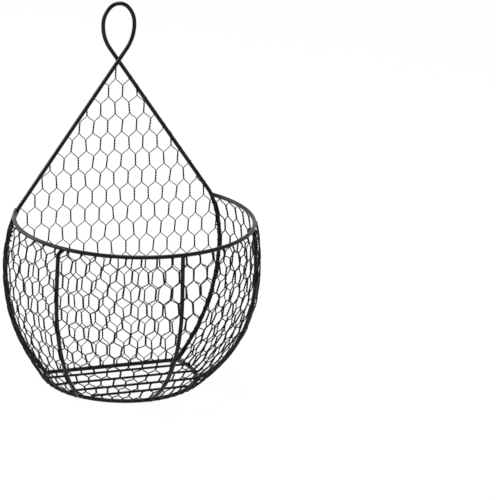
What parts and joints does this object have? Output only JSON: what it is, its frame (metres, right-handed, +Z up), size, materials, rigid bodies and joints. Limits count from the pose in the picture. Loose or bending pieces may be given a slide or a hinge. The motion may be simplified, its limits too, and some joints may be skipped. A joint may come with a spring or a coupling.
{
  "type": "hanging fruit basket",
  "caption": "Wall-hung wire fruit basket: round-bellied bowl of hexagonal netting on a rod frame, with a flat netted back that narrows to a twisted hanging eye.",
  "frame": {"origin": "middle of the bounding box at its bottom, where the base ring rests", "axes": "+Z up to the hanging eye, +Y back towards the wall, +X across; the bowl opens upwards and bulges towards -Y"},
  "size_m": [0.345, 0.248, 0.5126],
  "materials": {
    "coated_rod": "satin black coating on steel rod",
    "coated_netting": "satin black coating on twisted steel wire"
  },
  "bodies": {
    "root": {"back_frame": "coated_rod", "rim_ring": "coated_rod", "base_ring": "coated_rod", "rib_left": "coated_rod", "rib_front": "coated_rod", "rib_right": "coated_rod", "floor_rod_1": "coated_rod", "floor_rod_2": "coated_rod", "floor_rod_3": "coated_rod", "floor_rod_4": "coated_rod", "back_net": "coated_netting", "wall_net_1": "coated_netting", "wall_net_2": "coated_netting", "wall_net_3": "coated_netting", "wall_net_4": "coated_netting"}
  },
  "joints": []
}
